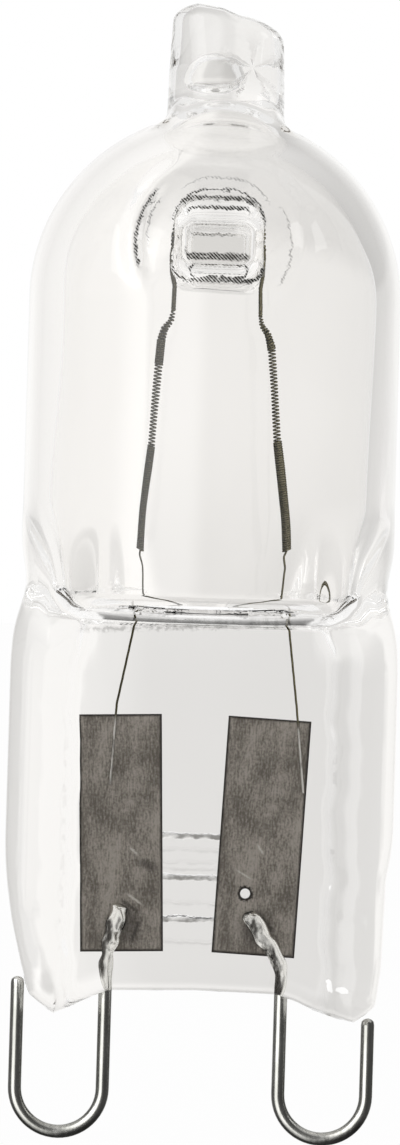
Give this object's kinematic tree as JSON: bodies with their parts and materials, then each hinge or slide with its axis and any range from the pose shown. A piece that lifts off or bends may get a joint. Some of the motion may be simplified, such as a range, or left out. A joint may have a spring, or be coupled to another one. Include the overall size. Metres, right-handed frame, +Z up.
{
  "type": "halogen capsule bulb",
  "caption": "Clear capsule lamp: domed quartz tube pinched flat round sealing foils, wound filament over a glass support inside, and wire contact loops below for a push-in holder.",
  "frame": {"origin": "midway between the two contact loops, level with their lowest points", "axes": "+Z up along the bulb to its tip, +X across the flat pinch from the left loop to the right, +Y through the pinch, away from the picture's viewer"},
  "size_m": [0.0132, 0.0128, 0.0389],
  "materials": {
    "quartz_glass": "clear, fire-polished, slightly wavy",
    "tungsten_wire": "dull dark metal, close wound",
    "molybdenum_foil": "rolled, fine lengthwise lines",
    "molybdenum_wire": "drawn, bright"
  },
  "bodies": {
    "root": {"glass_envelope": "quartz_glass", "filament": "tungsten_wire", "foil_left": "molybdenum_foil", "foil_right": "molybdenum_foil", "contact_loop_left": "molybdenum_wire", "contact_loop_right": "molybdenum_wire"}
  },
  "joints": []
}
